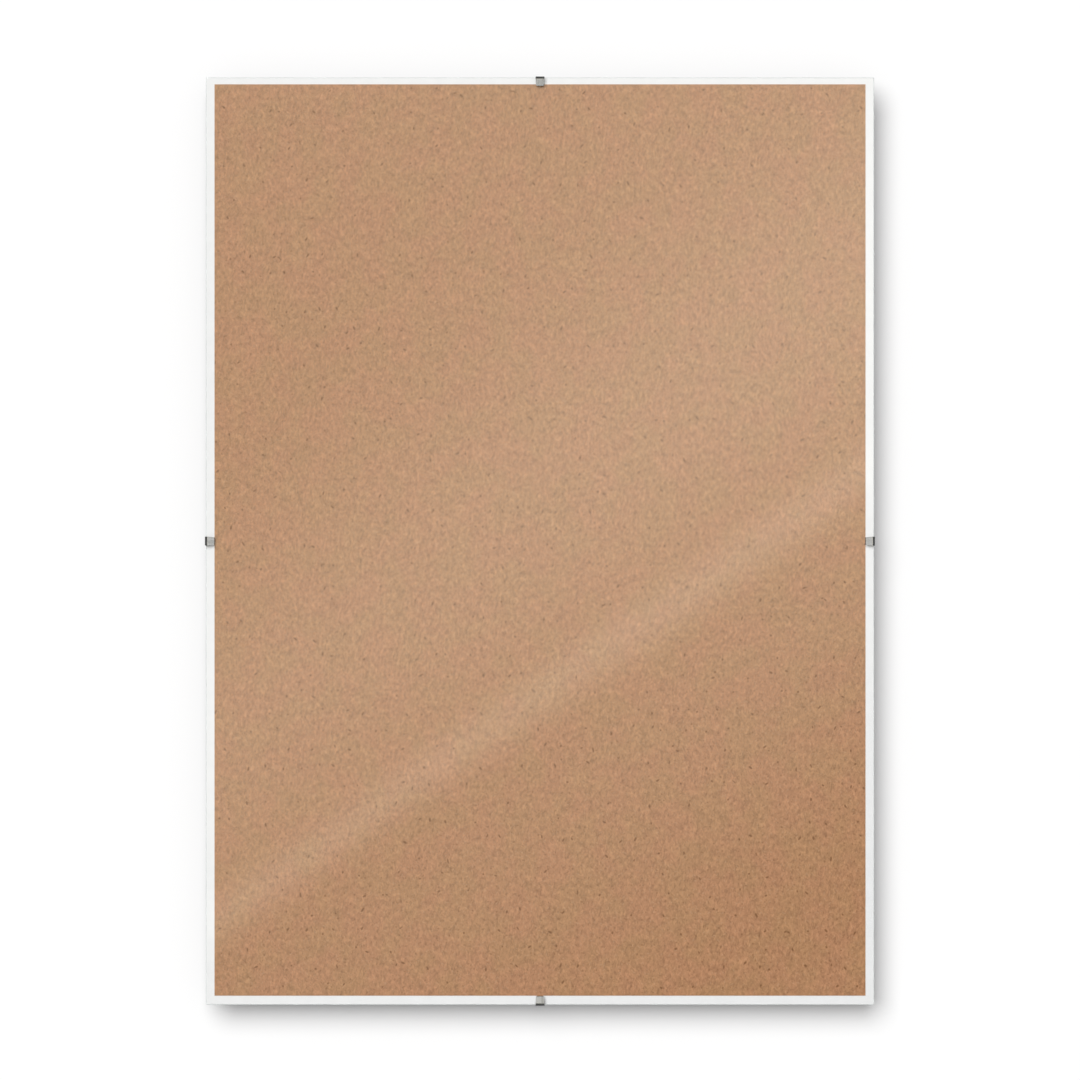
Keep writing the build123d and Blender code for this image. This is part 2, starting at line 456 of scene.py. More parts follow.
    def strew(self, graph: Graph, place: Socket, colour: Socket, flecks: Flecks) -> Socket:
        """Lay a scatter of fibres over a colour.

        Args:
            graph: the material's graph.
            place: place on the piece.
            colour: the colour underneath.
            flecks: sizes and tint of the fibres.

        Returns:
            The colour with the fibres on it.
        """
        inputs = {
            "Place": graph.vector("ADD", place, flecks.shift),
            "Cell": flecks.cell,
            "Length": flecks.length,
            "Width": flecks.width,
            "Turn": flecks.turn,
            "Share": flecks.share,
            "Curl": flecks.curl,
        }
        mask = graph.group(self.flecks, inputs)["Mask"]
        return graph.mix(graph.math("MULTIPLY", mask, flecks.weight), colour, flecks.tint)


@dataclass(frozen=True)
class KraftFinish:
    """Uncoated brown kraft: streaky pulp, dark shives and pale fibres."""

    pink: Triple = (0.478, 0.245, 0.130)
    olive: Triple = (0.460, 0.2505, 0.1265)
    hue: Mottle = Mottle(size=26.0, stretch=1.2, turn=0.4, detail=2.0)
    hue_span: Pair = (-0.14, 0.14)
    cloud: Mottle = Mottle(size=7.0, stretch=1.3, turn=0.0, detail=3.0)
    cloud_depth: float = 0.30
    grain: Mottle = Mottle(size=2.2, stretch=1.8, turn=0.15, detail=2.0)
    grain_depth: float = 0.67
    dark_strand: Mottle = Mottle(size=4.2, stretch=2.0, turn=0.35, detail=1.0)
    light_strand: Mottle = Mottle(size=4.2, stretch=2.0, turn=-0.5, detail=1.0)
    strand_shift: Triple = (90.0, 40.0, 0.0)
    strand_width: float = 0.05
    strand_depth: float = 0.135
    fibre: Triple = (0.617, 0.393, 0.238)
    shive: Triple = (0.220, 0.105, 0.047)
    tooth: Mottle = Mottle(size=0.45, stretch=1.4, turn=0.3, detail=3.0)
    tooth_depth: float = 0.03 * MM
    roughness: float = 0.85
    roughness_wander: float = 0.2
    specular: float = 0.25

    @property
    def layers(self) -> tuple[Flecks, ...]:
        """List the fibres.

        Returns:
            The scatters of fibres, from the palest to the darkest.
        """
        pale = Flecks(
            tint=self.fibre, weight=0.29, cell=3.6, length=4.2, width=1.0, turn=2.6, share=0.6, curl=1.6
        )
        thin = Flecks(
            tint=self.shive, weight=0.30, cell=4.4, length=3.6, width=1.2, turn=2.4, share=0.5, curl=1.4,
            shift=(31.0, 17.0, 0.0),
        )
        stubby = Flecks(
            tint=self.shive, weight=0.42, cell=6.5, length=2.6, width=1.8, turn=3.0, share=0.35, curl=0.5,
            shift=(71.0, 5.0, 0.0),
        )
        sparse = Flecks(
            tint=self.shive, weight=0.84, cell=14.0, length=4.6, width=1.9, turn=2.4, share=0.45, curl=1.2,
            shift=(7.0, 53.0, 0.0),
        )
        return pale, thin, stubby, sparse

    def material(self, effects: Effects) -> bpy.types.Material:
        """Make the material.

        Args:
            effects: the shared shader groups.

        Returns:
            The finished material.
        """
        graph = MaterialGraph("kraft_paper")
        place = graph.face_plane(graph.millimetres())
        cloud = effects.pulp(graph, place, self.cloud)
        grain = effects.pulp(graph, place, self.grain)
        depth = graph.math("MULTIPLY_ADD", self.streaks(graph, effects, place), self.strand_depth, 1.0)
        depth = graph.math("MULTIPLY_ADD", grain, self.grain_depth, depth)
        depth = graph.math("MULTIPLY_ADD", cloud, self.cloud_depth, depth)
        hue = graph.ramp(effects.pulp(graph, place, self.hue), *self.hue_span)
        colour = graph.scaled(graph.mix(hue, self.pink, self.olive), depth)
        for flecks in self.layers:
            colour = effects.strew(graph, place, colour, flecks)
        inputs = {
            "Base Color": colour,
            "Roughness": graph.math("MULTIPLY_ADD", cloud, self.roughness_wander, self.roughness),
            "Specular IOR Level": self.specular,
            "Normal": graph.bump(effects.pulp(graph, place, self.tooth), self.tooth_depth),
        }
        return graph.end_principled(inputs)

    def streaks(self, graph: Graph, effects: Effects, place: Socket) -> Socket:
        """Draw light and dark winding lines where the pulp's clouds meet.

        Args:
            graph: the material's graph.
            effects: the shared shader groups.
            place: place on the sheet.

        Returns:
            A value from -1 on a dark line to 1 on a light one.
        """
        dark = effects.pulp(graph, place, self.dark_strand)
        light = effects.pulp(graph, graph.vector("ADD", place, self.strand_shift), self.light_strand)
        offsets = [graph.math("ABSOLUTE", cloud) for cloud in (light, dark)]
        lines = [graph.ramp(offset, self.strand_width, 0.0) for offset in offsets]
        return graph.math("SUBTRACT", *lines)


@dataclass(frozen=True)
class CardFinish:
    """Smooth white card with a faint tooth."""

    tone: Triple = (0.935, 0.940, 0.937)
    shade: Triple = (0.910, 0.916, 0.914)
    cloud: Mottle = Mottle(size=9.0, stretch=1.2, turn=0.0, detail=2.0)
    cloud_span: Pair = (-0.2, 0.2)
    tooth: Mottle = Mottle(size=0.5, stretch=1.3, turn=0.3, detail=2.0)
    tooth_depth: float = 0.01 * MM
    roughness: float = 0.6
    roughness_wander: float = 0.15

    def material(self, effects: Effects) -> bpy.types.Material:
        """Make the material.

        Args:
            effects: the shared shader groups.

        Returns:
            The finished material.
        """
        graph = MaterialGraph("white_card")
        place = graph.face_plane(graph.millimetres())
        tooth = effects.pulp(graph, place, self.tooth)
        cloud = graph.ramp(effects.pulp(graph, place, self.cloud), *self.cloud_span)
        inputs = {
            "Base Color": graph.mix(cloud, self.tone, self.shade),
            "Roughness": graph.math("MULTIPLY_ADD", tooth, self.roughness_wander, self.roughness),
            "Normal": graph.bump(tooth, self.tooth_depth),
        }
        return graph.end_principled(inputs)


@dataclass(frozen=True)
class HardboardFinish:
    """Pressed brown fibreboard: fibrous all over, with the print of a wire screen on its rear."""

    tone: Triple = (0.235, 0.128, 0.064)
    deep: Triple = (0.150, 0.078, 0.040)
    fuzz: Mottle = Mottle(size=0.9, stretch=1.6, turn=0.5, detail=4.0)
    fuzz_span: Pair = (-0.2, 0.2)
    fuzz_height: float = 0.5
    cloud: Mottle = Mottle(size=22.0, stretch=1.3, turn=0.2, detail=3.0)
    cloud_depth: float = 0.5
    fibres: Flecks = Flecks(
        tint=(0.400, 0.250, 0.140), weight=0.32, cell=3.2, length=3.2, width=0.35, turn=6.0, share=0.6,
        curl=1.6,
    )
    screen_pitch: float = 2.4
    screen_shade: float = 0.16
    rear_span: Pair = (0.9, 0.99)
    relief: float = 0.12 * MM
    roughness: float = 0.75
    roughness_wander: float = 0.25
    specular: float = 0.3

    def material(self, effects: Effects) -> bpy.types.Material:
        """Make the material.

        Args:
            effects: the shared shader groups.

        Returns:
            The finished material.
        """
        graph = MaterialGraph("hardboard")
        whole = graph.millimetres()
        place = graph.face_plane(whole)
        fuzz = effects.pulp(graph, whole, self.fuzz)
        cloud = effects.pulp(graph, place, self.cloud)
        screen = self.screen(graph, whole)
        height = graph.math("MULTIPLY_ADD", fuzz, self.fuzz_height, screen)
        colour = graph.mix(graph.ramp(fuzz, *self.fuzz_span), self.deep, self.tone)
        colour = graph.scaled(colour, graph.math("MULTIPLY_ADD", cloud, self.cloud_depth, 1.0))
        colour = graph.scaled(colour, graph.math("MULTIPLY_ADD", screen, self.screen_shade, 1.0))
        inputs = {
            "Base Color": effects.strew(graph, place, colour, self.fibres),
            "Roughness": graph.math("MULTIPLY_ADD", fuzz, self.roughness_wander, self.roughness),
            "Specular IOR Level": self.specular,
            "Normal": graph.bump(height, self.relief),
        }
        return graph.end_principled(inputs)

    def screen(self, graph: Graph, place: Socket) -> Socket:
        """Press the print of a wire screen into the rear face.

        Args:
            graph: the material's graph.
            place: place on the board.

        Returns:
            The height of the print, from -1 to 1.
        """
        facing = graph.split(graph.node("ShaderNodeTexCoord").outputs["Normal"])
        rear = graph.ramp(facing["Y"], *self.rear_span)
        parts = graph.split(place)
        turn_per_mm = 2 * math.pi / self.screen_pitch
        waves = [graph.math("SINE", graph.math("MULTIPLY", parts[axis], turn_per_mm)) for axis in "XZ"]
        return graph.math("MULTIPLY", graph.math("MULTIPLY", *waves), rear)


@dataclass(frozen=True)
class SteelFinish:
    """Bright steel with rolling lines and rubbed patches."""

    name: str
    tone: Triple
    worn: Triple
    roughness: float
    line_width: float = 0.12
    line_roughness: float = 0.22
    line_depth: float = 0.0015 * MM
    patch_size: float = 3.0
    patch_roughness: float = 0.07

    def material(self, effects: Effects, grain: Grain) -> bpy.types.Material:
        """Make the material.

        Args:
            effects: the shared shader groups.
            grain: direction in which the strip was rolled.

        Returns:
            The finished material.
        """
        graph = MaterialGraph(f"{self.name}_{grain.name.lower()}")
        place = graph.vector("MULTIPLY", graph.millimetres(), grain.value)
        inputs = {"Place": place, "Line": self.line_width, "Patch": self.patch_size}
        scuffs = graph.group(effects.scuffs, inputs)
        roughness = graph.math("MULTIPLY_ADD", scuffs["Lines"], self.line_roughness, self.roughness)
        roughness = graph.math("MULTIPLY_ADD", scuffs["Patches"], self.patch_roughness, roughness)
        inputs = {
            "Base Color": graph.mix(scuffs["Patches"], self.tone, self.worn),
            "Metallic": 1.0,
            "Roughness": roughness,
            "Normal": graph.bump(scuffs["Lines"], self.line_depth),
        }
        return graph.end_principled(inputs)


@dataclass(frozen=True)
class GlassFinish:
    """Clear float glass; lamps and soft light reach what lies behind it."""

    index: float = 1.52
    wave_size: float = 70.0
    wave_height: float = 0.02 * MM
    ground_tint: Triple = (0.95, 0.99, 0.97)
    ground_grit: float = 0.17
    grit_detail: float = 3.0
    grit_span: Pair = (0.3, 0.7)
    ground_depth: float = 0.02 * MM
    ground_roughness: Pair = (0.4, 0.6)
    ground_clearness: float = 0.5

    def faces(self) -> bpy.types.Material:
        """Make the polished faces, with the faint waves of float glass.

        Returns:
            The finished material.
        """
        graph = MaterialGraph("float_glass")
        wave = graph.noise(graph.millimetres(), self.wave_size, detail=0.0).outputs["Fac"]
        inputs = {
            "Base Color": WHITE,
            "Roughness": 0.0,
            "Transmission Weight": 1.0,
            "Normal": graph.bump(wave, self.wave_height),
        }
        return self.pass_light(graph, inputs)

    def ground_edges(self) -> bpy.types.Material:
        """Make the ground edges, frosted and faintly green.

        Returns:
            The finished material.
        """
        graph = MaterialGraph("ground_glass")
        grit = graph.noise(graph.millimetres(), self.ground_grit, self.grit_detail).outputs["Fac"]
        inputs = {
            "Base Color": self.ground_tint,
            "Roughness": graph.ramp(grit, *self.grit_span, *self.ground_roughness),
            "Transmission Weight": self.ground_clearness,
            "Normal": graph.bump(grit, self.ground_depth),
        }
        return self.pass_light(graph, inputs)

    def pass_light(self, graph: MaterialGraph, inputs: dict[str, Value]) -> bpy.types.Material:
        """Finish a glass material so that lamps and soft light pass straight through.

        Args:
            graph: the material's graph.
            inputs: what feeds the glass shader.

        Returns:
            The finished material.
        """
        glass = graph.node("ShaderNodeBsdfPrincipled", {"IOR": self.index, **inputs}).outputs[0]
        clear = graph.node("ShaderNodeBsdfTransparent").outputs[0]
        path = graph.node("ShaderNodeLightPath").outputs
        passing = graph.math("MAXIMUM", path["Is Shadow Ray"], path["Is Diffuse Ray"])
        return graph.end(graph.node("ShaderNodeMixShader", {0: passing, 1: glass, 2: clear}).outputs[0])


def add_object(name: str, mesh: bpy.types.Mesh) -> bpy.types.Object:
    """Put a mesh into the scene as an object at the origin.

    Args:
        name: name of the object.
        mesh: its mesh.

    Returns:
        The new object.
    """
    piece = bpy.data.objects.new(name, mesh)
    bpy.context.scene.collection.objects.link(piece)
    return piece


def place_piece(piece: bpy.types.Object, body: str, nodes: Iterable[str]) -> None:
    """Hand a finished piece to the frame.

    Args:
        piece: object at the origin with its place in its mesh.
        body: body that it moves with.
        nodes: nodes that it stands for.
    """
    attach(piece, body)
    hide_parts(*nodes)
    log.info("%s: %d faces on %s", piece.name, len(piece.data.polygons), body)


def dress(node: str, material: bpy.types.Material) -> None:
    """Give a node that keeps its own solid a finish.

    Args:
        node: name of the node.
        material: its finish.
    """
    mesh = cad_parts[node].data
    mesh.materials.clear()
    mesh.materials.append(material)
    log.info("%s: dressed", node)


def eased_copy(node: str, name: str, ease: float) -> bpy.types.Object:
    """Copy a node's solid, with its facets joined and its sharp edges eased.

    Args:
        node: name of the node.
        name: name of the new object.
        ease: width of the eased edges.

    Returns:
        The new object.
    """
    work = bmesh.new()
    work.from_mesh(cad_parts[node].data)
    bmesh.ops.remove_doubles(work, verts=work.verts, dist=MERGE_DISTANCE)
    bmesh.ops.dissolve_limit(work, angle_limit=FLAT_ANGLE, verts=work.verts, edges=work.edges)
    sharp = [e for e in work.edges if len(e.link_faces) == 2 and e.calc_face_angle() > EASED_ANGLE]
    bmesh.ops.bevel(
        work,
        geom=sharp,
        offset=ease,
        segments=EASE_SEGMENTS,
        profile=EASE_PROFILE,
        affect="EDGES",
        clamp_overlap=True,
    )
    work.verts.index_update()
    corners = [v.co.copy() for v in work.verts]
    faces = [[v.index for v in f.verts] for f in work.faces]
    work.free()
    mesh = bpy.data.meshes.new(name)
    mesh.from_pydata(corners, [], faces)
    mesh.shade_smooth()
    mesh.set_sharp_from_angle(angle=CREASE_ANGLE)
    piece = add_object(name, mesh)
    weighted = piece.modifiers.new("even_faces", "WEIGHTED_NORMAL")
    weighted.keep_sharp = True
    return piece


@dataclass
class Glazing:
    """The pane of glass and the sheets that it presses on the back."""

    arris_ease: float = 0.06 * MM
    sheet_ease: float = 0.05 * MM
    sheet_gap: float = 0.03 * MM

    def build(self, effects: Effects) -> None:
        """Make and dress the pane, the kraft sheet, the card and the panel.

        Args:
            effects: the shared shader groups.
        """
        self.build_pane()
        self.build_sheet(KraftFinish().material(effects))
        dress("backing_card", CardFinish().material(effects))
        dress("back_panel", HardboardFinish().material(effects))

    def build_pane(self) -> None:
        """Make the pane, with polished faces and ground edges."""
        pane = eased_copy("glass_pane", "ground_pane", self.arris_ease)
        finish = GlassFinish()
        pane.data.materials.append(finish.faces())
        pane.data.materials.append(finish.ground_edges())
        for face in pane.data.polygons:
            face.material_index = 0 if abs(face.normal.y) > FACE_ON else 1
        place_piece(pane, "frame", ["glass_pane"])

    def build_sheet(self, material: bpy.types.Material) -> None:
        """Make the kraft sheet, a hair behind the glass.

        Args:
            material: its finish.
        """
        sheet = eased_copy("insert_sheet", "kraft_sheet", self.sheet_ease)
        low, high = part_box("insert_sheet")
        middle = (low.y + high.y) / 2
        for corner in sheet.data.vertices:
            if corner.co.y < middle:
                corner.co.y += self.sheet_gap
        sheet.data.materials.append(material)
        place_piece(sheet, "frame", ["insert_sheet"])


@dataclass
class SpringClips:
    """The four bent clips."""

    edge_ease: float = 0.07 * MM
    finish: SteelFinish = SteelFinish(
        name="spring_steel", tone=(0.62, 0.62, 0.60), worn=(0.56, 0.56, 0.545), roughness=0.17
    )

    def build(self, effects: Effects) -> None:
        """Make and dress the clips.

        Args:
            effects: the shared shader groups.
        """
        materials = {grain: self.finish.material(effects, grain) for grain in Grain}
        for edge in Edge:
            clip = eased_copy(f"clip_{edge.value}", f"{edge.value}_spring_clip", self.edge_ease)
            clip.data.materials.append(materials[edge.grain])
            place_piece(clip, f"{edge.value}_clip", [f"clip_{edge.value}"])


@dataclass
class Hangers:
    """Straps, wire rings and hollow rivets on the back."""

    strap_ease: float = 0.06 * MM
    corner_reach: float = 10.0 * MM
    corner_bend: float = 2.2 * MM
    crown_bend: float = 2.4 * MM
    wire_sides: int = 32
    wire_bend_steps: int = 16
    rivet_wall: float = 0.5 * MM
    rivet_bore: float = 1.5 * MM
    rivet_rim: float = 3.2 * MM
    rim_bend: float = 0.225 * MM
    root_bend: float = 0.1 * MM
    front_mouth: float = 0.5 * MM
    rear_mouth: float = 0.7 * MM
    rivet_turns: int = 48
    rivet_steps: int = 120
    rivet_bend_steps: int = 6
    finish: SteelFinish = SteelFinish(
        name="plated_steel", tone=(0.66, 0.655, 0.63), worn=(0.58, 0.575, 0.56), roughness=0.30
    )

    def build(self, effects: Effects) -> None:
        """Make and dress the hangers.

        Args:
            effects: the shared shader groups.
        """
        materials = {grain: self.finish.material(effects, grain) for grain in Grain}
        wire_tree = self.make_wire_tree()
        for way in Way:
            strap = eased_copy(f"{way.value}_strap", f"{way.value}_folded_strap", self.strap_ease)
            strap.data.materials.append(materials[way.grain])
            place_piece(strap, "frame", [f"{way.value}_strap"])
            self.build_ring(way, wire_tree, materials[way.grain])
        self.build_rivets(materials[Grain.UPRIGHT])

    def build_ring(self, way: Way, tree: bpy.types.NodeTree, material: bpy.types.Material) -> None:
        """Make one wire ring: a bar, two bent corners and a crown.

        Args:
            way: the hanger that it belongs to.
            tree: geometry nodes that run a wire along a path.
            material: its finish.
        """
        node = f"{way.value}_ring"
        low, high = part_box(node)
        wire = (high.y - low.y) / 2
        height = abs((high - low).dot(way.rise))
        bar = (low + high) / 2 + way.rise * (wire - height / 2)
        crown_rise = height - 2 * wire - self.crown_bend
        slope = math.atan2(crown_rise, self.corner_reach)
        slope += math.asin(self.crown_bend / math.hypot(crown_rise, self.corner_reach))
        peak = bar + way.rise * (self.corner_reach * math.tan(slope))
        reach = way.along * self.corner_reach
        bends = [self.corner_bend, self.corner_bend, self.crown_bend]
        path = self.path_object(f"{way.value}_wire_ring", [bar - reach, bar + reach, peak], bends)
        inputs = {
            "Wire Radius": wire,
            "Sides": self.wire_sides,
            "Bend Steps": self.wire_bend_steps,
            "Finish": material,
        }
        place_piece(apply_nodes(path, tree, inputs), way.ring_body, [node])

    def build_rivets(self, material: bpy.types.Material) -> None:
        """Make both hollow rivets, turned from one profile.

        Args:
            material: their finish.
        """
        low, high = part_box("portrait_rivet")
        head = (high.x - low.x) / 2
        shank = self.rivet_bore + self.rivet_wall
        head_front = high.y - self.rivet_wall
        rim_rear = low.y + self.rivet_wall
        profile = [
            (head, high.y, self.rim_bend),
            (head, head_front, self.rim_bend),
            (shank, head_front, self.root_bend),
            (shank, rim_rear, self.root_bend),
            (self.rivet_rim, rim_rear, self.rim_bend),
            (self.rivet_rim, low.y, self.rim_bend),
            (self.rivet_bore, low.y, self.front_mouth),
            (self.rivet_bore, high.y, self.rear_mouth),
        ]
        corners = [Vector((radius, depth, 0)) for radius, depth, bend in profile]
        path = self.path_object("rivets", corners, [bend for radius, depth, bend in profile])
        nodes = [f"{way.value}_rivet" for way in Way]
        seats = [sum(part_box(node), Vector()) / 2 for node in nodes]
        # The profile holds the depth, so the seats give only X and Z.
        for seat in seats:
            seat.y = 0
        inputs = {
            "Turns": self.rivet_turns,
            "Steps": self.rivet_steps,
            "Bend Steps": self.rivet_bend_steps,
            "First Seat": seats[0],
            "Last Seat": seats[-1],
            "Count": len(seats),
            "Finish": material,
        }
        rivets = apply_nodes(path, self.make_turning_tree(), inputs)
        place_piece(rivets, "frame", nodes)

    @staticmethod
    def path_object(name: str, corners: list[Vector], bends: list[float]) -> bpy.types.Object:
        """Make an object whose mesh is a closed path of straight runs.

        Args:
            name: name of the object.
            corners: corners of the path.
            bends: radius of the bend at each corner, kept as an attribute.

        Returns:
            The new object.
        """
        runs = [(i, (i + 1) % len(corners)) for i in range(len(corners))]
        mesh = bpy.data.meshes.new(name)
        mesh.from_pydata(corners, runs, [])
        mesh.attributes.new("bend", "FLOAT", "POINT").data.foreach_set("value", bends)
        return add_object(name, mesh)

    @staticmethod
    def bent_path(graph: Graph, given: Outputs) -> Socket:
        """Turn the path into a curve with rounded corners.

        Args:
            graph: the tree's graph.
            given: the tree's inputs.

        Returns:
            The curve.
        """
        curve = graph.node("GeometryNodeMeshToCurve", {"Mesh": given["Geometry"]}).outputs["Curve"]
        bend = graph.node("GeometryNodeInputNamedAttribute", {"Name": "bend"}, data_type="FLOAT")
        corners = {
            "Curve": curve,
            "Count": given["Bend Steps"],
            "Radius": bend.outputs["Attribute"],
            "Limit Radius": True,
        }
        return graph.node("GeometryNodeFilletCurve", corners, mode="POLY").outputs["Curve"]

    @classmethod
    def make_wire_tree(cls) -> bpy.types.NodeTree:
        """Make geometry nodes that run a round wire along a path.

        Returns:
            The tree.
        """
        inputs = {
            "Geometry": "NodeSocketGeometry",
            "Wire Radius": "NodeSocketFloat",
            "Sides": "NodeSocketInt",
            "Bend Steps": "NodeSocketInt",
            "Finish": "NodeSocketMaterial",
        }
        outputs = {"Geometry": "NodeSocketGeometry"}
        graph, given = new_group("bent_wire", "GeometryNodeTree", inputs, outputs)
        circle = {"Resolution": given["Sides"], "Radius": given["Wire Radius"]}
        section = graph.node("GeometryNodeCurvePrimitiveCircle", circle).outputs["Curve"]
        sweep = {"Curve": cls.bent_path(graph, given), "Profile Curve": section}
        end_tree(graph, given, graph.node("GeometryNodeCurveToMesh", sweep).outputs["Mesh"])
        return graph.tree

    @classmethod
    def make_turning_tree(cls) -> bpy.types.NodeTree:
        """Make geometry nodes that turn a profile about Y and set a copy on each seat of a row.

        Returns:
            The tree.
        """
        inputs = {
            "Geometry": "NodeSocketGeometry",
            "Turns": "NodeSocketInt",
            "Steps": "NodeSocketInt",
            "Bend Steps": "NodeSocketInt",
            "First Seat": "NodeSocketVector",
            "Last Seat": "NodeSocketVector",
            "Count": "NodeSocketInt",
            "Finish": "NodeSocketMaterial",
        }
        outputs = {"Geometry": "NodeSocketGeometry"}
        graph, given = new_group("turned_row", "GeometryNodeTree", inputs, outputs)
        # X of the net runs once round the turned piece, and Y runs once along its profile.
        columns = graph.math("ADD", given["Turns"], 1)
        side = 1.0
        net = {"Size X": side, "Size Y": side, "Vertices X": columns, "Vertices Y": given["Steps"]}
        grid = graph.node("GeometryNodeMeshGrid", net).outputs["Mesh"]
        spot = graph.split(graph.node("GeometryNodeInputPosition").outputs[0])
        angle = graph.math("MULTIPLY", spot["X"], 2 * math.pi)
        sample = graph.node("GeometryNodeSampleCurve", mode="FACTOR", use_all_curves=True)
        graph.feed(sample.inputs["Curves"], cls.bent_path(graph, given))
        graph.feed(sample.inputs["Factor"], graph.math("ADD", spot["Y"], side / 2))
        point = graph.split(sample.outputs["Position"])
        swing = [graph.math(turn, angle) for turn in ("COSINE", "SINE")]
        x, z = (graph.math("MULTIPLY", point["X"], part) for part in swing)
        place = {"Geometry": grid, "Position": graph.joined(x, point["Y"], z)}
        shape = graph.node("GeometryNodeSetPosition", place).outputs[0]
        seam = {"Geometry": shape, "Distance": MERGE_DISTANCE}
        shape = graph.node("GeometryNodeMergeByDistance", seam).outputs[0]
        row = {
            "Count": given["Count"],
            "Start Location": given["First Seat"],
            "Offset": given["Last Seat"],
        }
        seats = graph.node("GeometryNodeMeshLine", row, mode="END_POINTS", count_mode="TOTAL")
        points = {"Points": seats.outputs["Mesh"], "Instance": shape}
        copies = graph.node("GeometryNodeInstanceOnPoints", points)
        end_tree(graph, given, copies.outputs["Instances"])
        return graph.tree


def end_tree(graph: Graph, given: Outputs, geometry: Socket) -> None:
    """End a geometry tree: smooth, realised and with its finish.

    Args:
        graph: the tree's graph.
        given: the tree's inputs.
        geometry: what the tree has made.
    """
    smooth = graph.node("GeometryNodeSetShadeSmooth", {"Geometry": geometry}).outputs[0]
    real = graph.node("GeometryNodeRealizeInstances", {"Geometry": smooth}).outputs[0]
    dressed = graph.node("GeometryNodeSetMaterial", {"Geometry": real, "Material": given["Finish"]})
    graph.node("NodeGroupOutput", {"Geometry": dressed.outputs[0]})


def apply_nodes(
    source: bpy.types.Object, tree: bpy.types.NodeTree, inputs: dict[str, object]
) -> bpy.types.Object:
    """Run geometry nodes on an object and put the plain mesh that comes out in its place.

    Args:
        source: object that holds the path.
        tree: geometry nodes.
        inputs: values of the tree's named inputs.

    Returns:
        The object with its new mesh.
    """
    modifier = source.modifiers.new(tree.name, "NODES")
    modifier.node_group = tree
    sockets = [item for item in tree.interface.items_tree if item.in_out == "INPUT"]
    identifiers = {socket.name: socket.identifier for socket in sockets}
    for name, value in inputs.items():
        modifier[identifiers[name]] = value
    graph = bpy.context.evaluated_depsgraph_get()
    mesh = bpy.data.meshes.new_from_object(source.evaluated_get(graph), depsgraph=graph)
    source.modifiers.remove(modifier)
    mesh.name = source.name
    source.data = mesh
    work = bmesh.new()
    work.from_mesh(mesh)
    bmesh.ops.remove_doubles(work, verts=work.verts, dist=MERGE_DISTANCE)
    bmesh.ops.recalc_face_normals(work, faces=work.faces)
    work.to_mesh(mesh)
    work.free()
    mesh.shade_smooth()
    return source


@dataclass(frozen=True)
class Lamp:
    """A soft distant lamp that the glass and steel don't mirror."""

    name: str
    source: Triple
    level: float
    spread: float

    def build(self) -> None:
        """Add the lamp, with its level as the brightness of a white sheet square to the view."""
        towards = Vector(self.source).normalized()
        data = bpy.data.lights.new(self.name, "SUN")
        data.energy = self.level * math.pi / abs(towards.y)
        data.angle = self.spread
        lamp = bpy.data.objects.new(self.name, data)
        lamp.rotation_euler = towards.to_track_quat("Z", "Y").to_euler()
        lamp.visible_glossy = False
        lamp.visible_transmission = False
        bpy.context.scene.collection.objects.link(lamp)


@dataclass(frozen=True)
class WindowGlow:
    """Soft light behind the camera as the pane mirrors it, in millimetres on the pane.

    A slanted bar of light crosses the pane. A haze lies above it, and thins out below it.
    """

    half: Pair = (285.0, 385.0)  # half its width and height
    tint: Triple = (1.05, 1.0, 0.84)
    glass_share: float = 0.078  # share of the light that the two faces of the pane mirror
    lean: float = math.radians(34.6)  # slant of the bar
    bar_drop: float = 98.0  # of the bar below the middle of the pane
    bar_shift: float = 67.0  # of the middle of the pane along the bar
    bar_width: float = 18.0
    bar_level: float = 0.048
    crossing: Pair = (-40.0, 40.0)  # over which the light below the bar gives way to the haze
    low_span: Pair = (-280.0, -20.0)  # over which the light below the bar comes up
    low_level: float = 0.043
    haze_level: float = 0.045
    haze_peak: float = 125.0  # above the bar
    haze_width: float = 120.0
    haze_swell: float = 0.040
    drift_span: Pair = (-400.0, 450.0)  # along the bar
    drift: Pair = (-0.016, 0.032)  # what is added at the ends of that span

    def brightness(self, graph: Graph, across: Socket, up: Socket) -> Socket:
        """Work out how bright the light is.

        Args:
            graph: the world's graph.
            across: place on the pane, to the right.
            up: place on the pane, upwards.

        Returns:
            The brightness, such that the glass adds the levels above to what lies behind it.
        """
        rise = graph.math("MULTIPLY_ADD", across, -math.sin(self.lean), self.bar_drop)
        rise = graph.math("MULTIPLY_ADD", up, math.cos(self.lean), rise)
        along = graph.math("MULTIPLY_ADD", across, math.cos(self.lean), self.bar_shift)
        along = graph.math("MULTIPLY_ADD", up, math.sin(self.lean), along)
        drift = graph.ramp(along, *self.drift_span, *self.drift)
        low = graph.math("ADD", drift, self.low_level)
        low = graph.math("MULTIPLY", graph.ramp(rise, *self.low_span), low)
        swell = graph.bell(rise, self.haze_peak, self.haze_width, self.haze_swell)
        haze = graph.math("ADD", graph.math("ADD", swell, self.haze_level), drift)
        veil = graph.blend(graph.ramp(rise, *self.crossing), low, haze)
        veil = graph.math("ADD", veil, graph.bell(rise, 0.0, self.bar_width, self.bar_level))
        return graph.math("DIVIDE", veil, self.glass_share)


